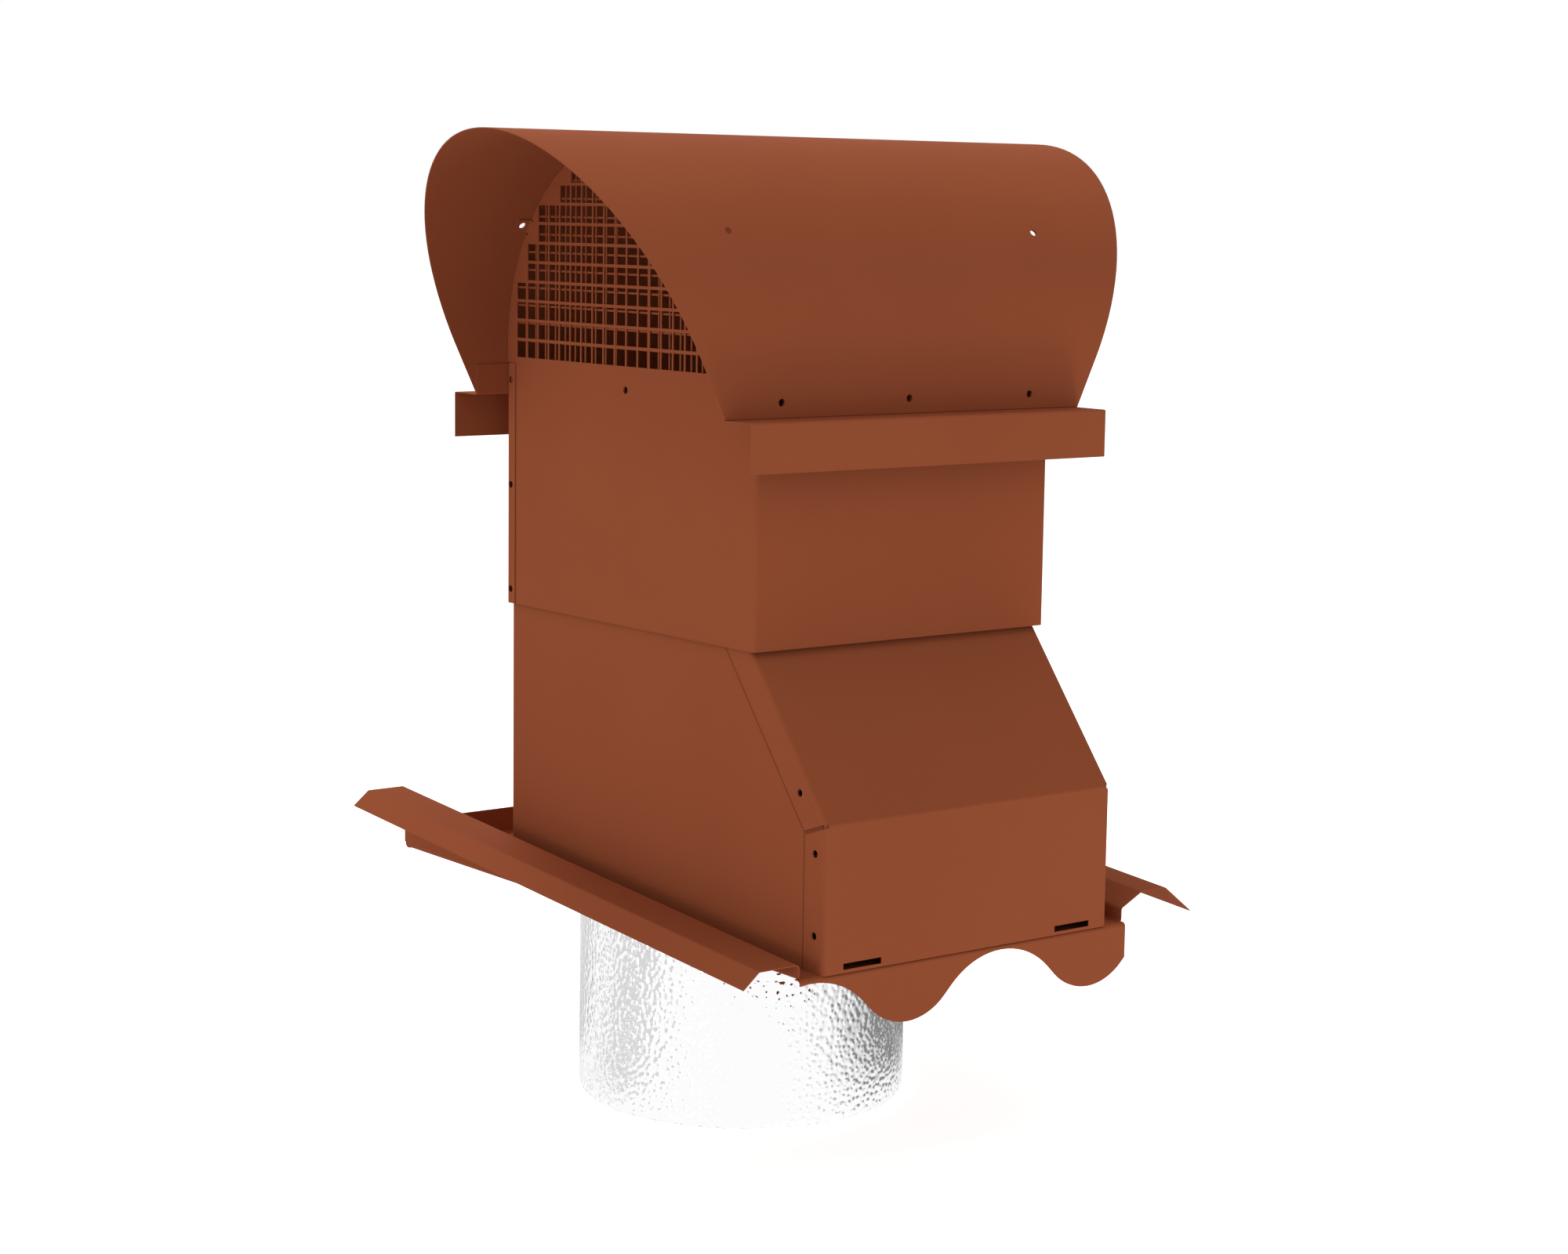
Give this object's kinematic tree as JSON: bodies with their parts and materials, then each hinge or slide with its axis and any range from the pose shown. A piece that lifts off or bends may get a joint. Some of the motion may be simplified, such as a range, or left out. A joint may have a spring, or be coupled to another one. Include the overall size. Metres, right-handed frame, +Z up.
{
  "type": "roof tile vent",
  "caption": "Roof vent of folded sheet: wave-cut tile tray, sloping housing, box with perforated gables under an arched hood, and an insulated round duct below.",
  "frame": {"origin": "centre of the duct's lower end", "axes": "+Z up along the duct, +Y up the roof, X along the hood; the wave-cut apron faces -Y"},
  "size_m": [0.4588, 0.468, 0.6519],
  "materials": {
    "painted_steel": "matt",
    "galvanised_sheet": "satin",
    "foil": "embossed foil",
    "mineral_wool": "fibrous"
  },
  "bodies": {
    "root": {"hood": "painted_steel", "drip_rail_front": "painted_steel", "drip_rail_rear": "painted_steel", "upper_box_wrap": "painted_steel", "upper_back_panel": "painted_steel", "bird_net_left": "painted_steel", "bird_net_right": "painted_steel", "lower_housing_wrap": "painted_steel", "lower_front_panel": "painted_steel", "tile_tray": "painted_steel", "inner_duct": "galvanised_sheet", "duct_cap": "galvanised_sheet", "floor_collar": "galvanised_sheet", "duct_insulation": "mineral_wool", "foil_jacket": "foil"}
  },
  "joints": []
}
